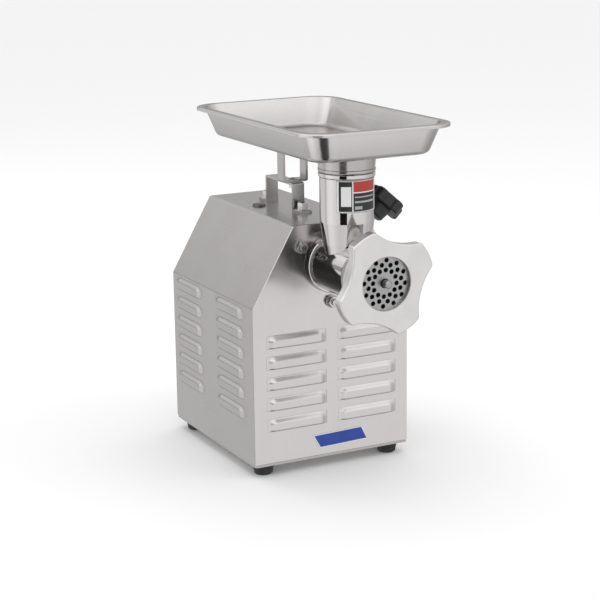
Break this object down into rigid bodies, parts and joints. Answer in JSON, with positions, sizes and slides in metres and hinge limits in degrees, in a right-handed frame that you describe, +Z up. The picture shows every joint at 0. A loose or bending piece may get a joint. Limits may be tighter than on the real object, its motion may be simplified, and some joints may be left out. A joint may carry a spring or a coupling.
{
  "type": "electric meat grinder",
  "caption": "Bench meat grinder: sloped sheet housing with louvres, barrel and throat head, lobed ring nut, perforated plate, tray on top, clamp knob.",
  "frame": {"origin": "centre of the whole object's footprint on the surface it stands on", "axes": "+Z up, -Y the way the grinding head points, +X to the right of a person who stands in front and faces the head"},
  "size_m": [0.2192, 0.393, 0.431],
  "materials": {
    "polished_stainless": "mirror polished stainless sheet",
    "brushed_stainless": "fine brushed stainless sheet",
    "tray_stainless": "drawn and satin finished stainless",
    "polished_casting": "polished cast stainless",
    "matt_casting": "matt tumbled cast aluminium",
    "tool_steel": "ground steel",
    "fastener_steel": "bright steel fastener",
    "dark_fastener": "dull plated steel",
    "cast_aluminium": "as-cast aluminium",
    "motor_paint": "semi-gloss motor enamel",
    "lamination": "stacked electrical sheet",
    "winding_copper": "varnished copper wire",
    "black_plastic": "moulded thermoset plastic",
    "grey_plastic": "moulded plastic",
    "green_plastic": "glossy button",
    "red_plastic": "glossy button",
    "black_rubber": "moulded rubber",
    "badge_blue": "printed plate",
    "label_film": "printed film"
  },
  "bodies": {
    "root": {"base_plate": "brushed_stainless", "rubber_feet": "black_rubber", "foot_screws": "fastener_steel", "foot_nuts": "fastener_steel", "housing_wrap": "brushed_stainless", "front_panel": "polished_stainless", "rear_panel": "brushed_stainless", "rear_screws": "fastener_steel", "hole_plug": "dark_fastener", "badge_plate": "badge_blue", "bridge_strap": "brushed_stainless", "tray_cradle": "brushed_stainless", "bracket_bolts": "fastener_steel", "bracket_nuts": "fastener_steel", "head_socket": "polished_casting", "socket_studs": "fastener_steel", "socket_nuts": "fastener_steel", "gearbox_case": "cast_aluminium", "gear_bearings": "tool_steel", "motor_housing": "motor_paint", "motor_stator": "lamination", "motor_windings": "winding_copper", "motor_front_bell": "cast_aluminium", "motor_rear_bell": "cast_aluminium", "motor_bearings": "tool_steel", "motor_cradle": "motor_paint", "run_capacitor": "grey_plastic", "capacitor_clip": "fastener_steel", "switch_body": "black_plastic", "terminal_block": "grey_plastic", "cord_gland": "black_plastic", "gland_nut": "black_plastic"},
    "output": {"output_gear": "tool_steel", "output_shaft": "tool_steel"},
    "middle": {"middle_shaft": "tool_steel", "middle_gear": "tool_steel"},
    "rotor": {"motor_shaft": "tool_steel", "motor_rotor": "lamination", "motor_fan": "black_plastic"},
    "head": {"head_casting": "polished_casting", "throat_label": "label_film", "plate_key": "tool_steel", "grinding_plate": "tool_steel"},
    "screw": {"feed_screw": "matt_casting", "screw_pin": "tool_steel", "knife": "tool_steel"},
    "ring": {"ring_nut": "matt_casting"},
    "clamp": {"clamp_knob": "black_plastic", "clamp_stud": "fastener_steel"},
    "tray": {"tray_pan": "tray_stainless", "tray_spigot": "tray_stainless"},
    "start": {"start_button": "green_plastic"},
    "stop": {"stop_button": "red_plastic"}
  },
  "joints": [
    {"name": "output_turn", "type": "hinge", "parent": "root", "child": "output", "pos_m": [0, -0.0175, 0.256], "axis": [0, 1, 0], "continuous": true},
    {"name": "middle_turn", "type": "hinge", "parent": "root", "child": "middle", "pos_m": [0, -0.0175, 0.205], "axis": [0, 1, 0], "continuous": true},
    {"name": "motor_turn", "type": "hinge", "parent": "root", "child": "rotor", "pos_m": [0, 0.0625, 0.151], "axis": [0, 1, 0], "continuous": true},
    {"name": "head_slide", "type": "slide", "parent": "root", "child": "head", "axis": [0, -1, 0], "range_m": [0, 0.09]},
    {"name": "screw_turn", "type": "hinge", "parent": "head", "child": "screw", "pos_m": [0, -0.1175, 0.256], "axis": [0, 1, 0], "continuous": true},
    {"name": "ring_unscrew", "type": "hinge", "parent": "head", "child": "ring", "pos_m": [0, -0.1775, 0.256], "axis": [0, -1, 0], "range_deg": [0, 720]},
    {"name": "clamp_turn", "type": "hinge", "parent": "root", "child": "clamp", "pos_m": [0.07, -0.0644, 0.326], "axis": [0.7071, 0, 0.7071], "range_deg": [0, 720]},
    {"name": "tray_lift", "type": "slide", "parent": "head", "child": "tray", "axis": [0, 0, 1], "range_m": [0, 0.05]},
    {"name": "start_press", "type": "slide", "parent": "root", "child": "start", "axis": [0, -1, 0], "range_m": [0, 0.003], "stiffness_N_per_m": 800},
    {"name": "stop_press", "type": "slide", "parent": "root", "child": "stop", "axis": [0, -1, 0], "range_m": [0, 0.003], "stiffness_N_per_m": 800}
  ],
  "couplings": [
    {"joint": "middle_turn", "follows": "output_turn", "ratio": -2.7778},
    {"joint": "motor_turn", "follows": "output_turn", "ratio": 8.3333},
    {"joint": "screw_turn", "follows": "output_turn", "ratio": 1}
  ]
}
